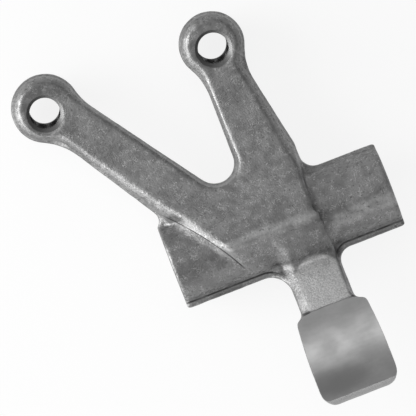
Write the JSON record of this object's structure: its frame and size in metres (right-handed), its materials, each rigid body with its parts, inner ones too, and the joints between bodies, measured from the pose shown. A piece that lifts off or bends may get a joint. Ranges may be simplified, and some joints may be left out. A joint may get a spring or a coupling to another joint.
{
  "type": "rocker arm",
  "caption": "Forged steel forked rocker arm: shaft hub with a cam pad on one side and a fork of arms on the other, each ending in a threaded eye for a valve adjusting screw.",
  "frame": {"origin": "middle of the shaft bore, on its axis", "axes": "+X along the shaft bore, +Y from the hub to the screw eyes, +Z to the cam side, which is up as the arm lies on its back"},
  "size_m": [0.0658, 0.0829, 0.0214],
  "materials": {
    "forged_steel": "as forged and shot blasted, the cam pad ground smooth, the bore and the eyes machined"
  },
  "bodies": {
    "root": {"rocker_arm": "forged_steel"}
  },
  "joints": []
}
